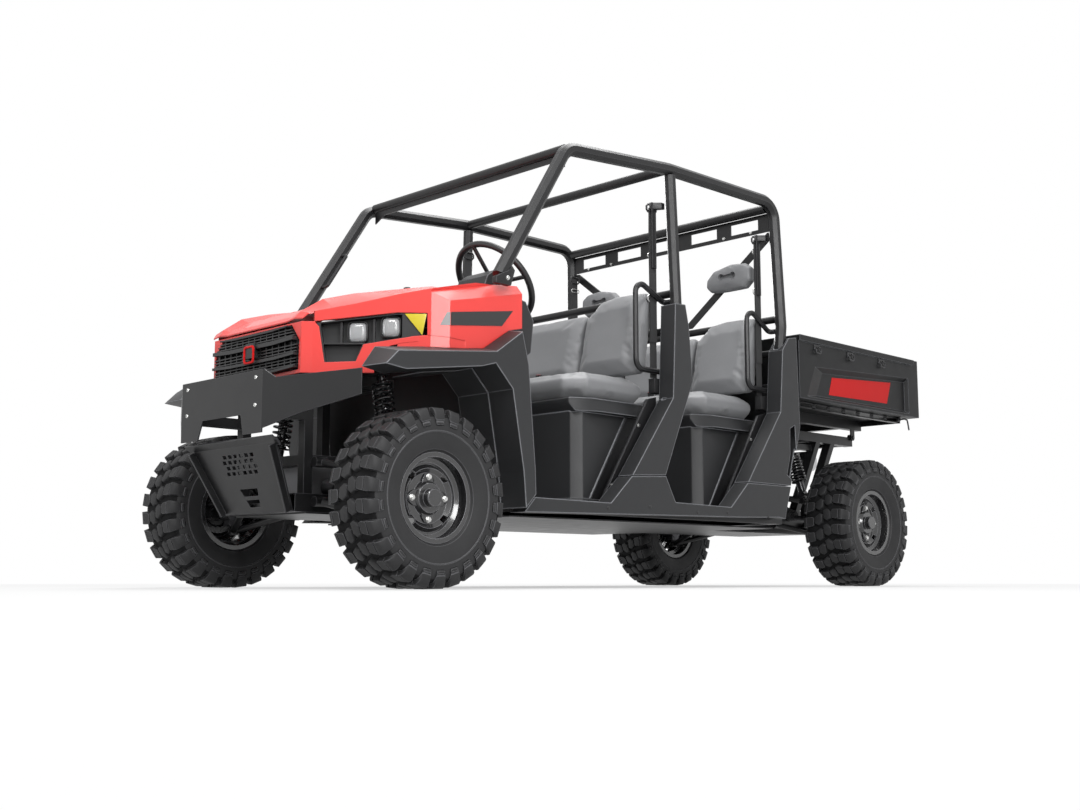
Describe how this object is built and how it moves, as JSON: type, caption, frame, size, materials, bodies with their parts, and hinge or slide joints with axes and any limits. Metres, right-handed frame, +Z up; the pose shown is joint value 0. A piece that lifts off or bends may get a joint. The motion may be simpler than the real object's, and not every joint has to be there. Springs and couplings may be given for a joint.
{
  "type": "crew utility vehicle with cargo bed",
  "caption": "Open two-row side-by-side utility vehicle with roll cage, red front panels, charcoal cargo bed and lugged tyres.",
  "frame": {"origin": "centre of the footprint on the ground the tyres stand on", "axes": "+Z up; -Y towards the nose, +Y towards the tail; +X towards the driver's side"},
  "size_m": [1.581, 4.024, 1.9373],
  "materials": {
    "black_steel": "satin",
    "cast_steel": "satin",
    "spring_steel": "gloss",
    "cast_alloy": "matte",
    "bare_steel": "satin",
    "charcoal_plastic": "satin",
    "black_plastic": "satin",
    "bed_plastic": "matte",
    "grey_vinyl": "matte",
    "black_webbing": "matte",
    "red_panel": "gloss",
    "gloss_black_alloy": "gloss",
    "tyre_rubber": "matte",
    "clear_lens": "gloss",
    "red_lens": "gloss"
  },
  "bodies": {
    "chassis": {"chassis_frame": "black_steel", "skid_plates": "black_steel", "rear_hub_carriers": "cast_steel", "suspension_arms": "black_steel", "shock_absorbers": "spring_steel", "powertrain": "cast_alloy", "drive_shafts": "cast_steel", "exhaust": "bare_steel", "steering_rack_housing": "cast_alloy", "floor_pan": "charcoal_plastic", "seat_bases": "charcoal_plastic", "seat_cushions": "grey_vinyl", "seat_backs": "grey_vinyl", "seat_belts": "black_webbing", "side_panels": "charcoal_plastic", "front_flares": "charcoal_plastic", "wheel_wells": "charcoal_plastic", "front_fenders": "red_panel", "nose_panel": "red_panel", "grille": "black_plastic", "headlight_housings": "black_plastic", "headlight_lenses": "clear_lens", "front_bumper": "black_steel", "dashboard": "charcoal_plastic", "driver_controls": "black_plastic", "cage_side_frames": "black_steel", "cage_cross_members": "black_steel", "hip_bars": "black_steel"},
    "knuckle_left_body": {"knuckle_left": "cast_steel"},
    "knuckle_right_body": {"knuckle_right": "cast_steel"},
    "rack": {"tie_rods": "bare_steel"},
    "steering": {"steering_wheel": "black_plastic"},
    "hood_lid": {"hood": "red_panel"},
    "bed": {"cargo_bed": "bed_plastic", "bed_frame": "black_steel", "tail_lights": "red_lens"},
    "gate": {"tailgate": "bed_plastic"},
    "wheel_front_left": {"rim_front_left": "gloss_black_alloy", "tyre_front_left": "tyre_rubber"},
    "wheel_front_right": {"rim_front_right": "gloss_black_alloy", "tyre_front_right": "tyre_rubber"},
    "wheel_rear_left": {"rim_rear_left": "gloss_black_alloy", "tyre_rear_left": "tyre_rubber"},
    "wheel_rear_right": {"rim_rear_right": "gloss_black_alloy", "tyre_rear_right": "tyre_rubber"}
  },
  "joints": [
    {"name": "spin_front_left", "type": "hinge", "parent": "knuckle_left_body", "child": "wheel_front_left", "pos_m": [0.6655, -1.575, 0.33], "axis": [1, 0, 0], "continuous": true},
    {"name": "spin_front_right", "type": "hinge", "parent": "knuckle_right_body", "child": "wheel_front_right", "pos_m": [-0.6655, -1.575, 0.33], "axis": [1, 0, 0], "continuous": true},
    {"name": "spin_rear_left", "type": "hinge", "parent": "chassis", "child": "wheel_rear_left", "pos_m": [0.6655, 1.436, 0.33], "axis": [1, 0, 0], "continuous": true},
    {"name": "spin_rear_right", "type": "hinge", "parent": "chassis", "child": "wheel_rear_right", "pos_m": [-0.6655, 1.436, 0.33], "axis": [1, 0, 0], "continuous": true},
    {"name": "steer_left", "type": "hinge", "parent": "chassis", "child": "knuckle_left_body", "pos_m": [0.58, -1.575, 0.33], "axis": [0, 0, 1], "range_deg": [-30, 30]},
    {"name": "steer_right", "type": "hinge", "parent": "chassis", "child": "knuckle_right_body", "pos_m": [-0.58, -1.575, 0.33], "axis": [0, 0, 1], "range_deg": [-30, 30]},
    {"name": "rack_slide", "type": "slide", "parent": "chassis", "child": "rack", "axis": [-1, 0, 0], "range_m": [-0.0526, 0.0526]},
    {"name": "steering_turn", "type": "hinge", "parent": "chassis", "child": "steering", "pos_m": [0.355, -0.905, 1.3], "axis": [0, 0.766, 0.6428], "range_deg": [-270.5, 270.5]},
    {"name": "hood_lift", "type": "hinge", "parent": "chassis", "child": "hood_lid", "pos_m": [0, -1.217, 1.203], "axis": [-1, 0, 0], "range_deg": [0, 55]},
    {"name": "bed_tilt", "type": "hinge", "parent": "chassis", "child": "bed", "pos_m": [0, 1.831, 0.835], "axis": [-1, 0, 0], "range_deg": [0, 45]},
    {"name": "tailgate_drop", "type": "hinge", "parent": "bed", "child": "gate", "pos_m": [0, 1.991, 0.957], "axis": [-1, 0, 0], "range_deg": [0, 90]}
  ],
  "couplings": [
    {"joint": "steer_right", "follows": "steer_left", "ratio": 1},
    {"joint": "rack_slide", "follows": "steer_left", "m_per_rad": 0.1003},
    {"joint": "steering_turn", "follows": "steer_left", "ratio": 9}
  ]
}
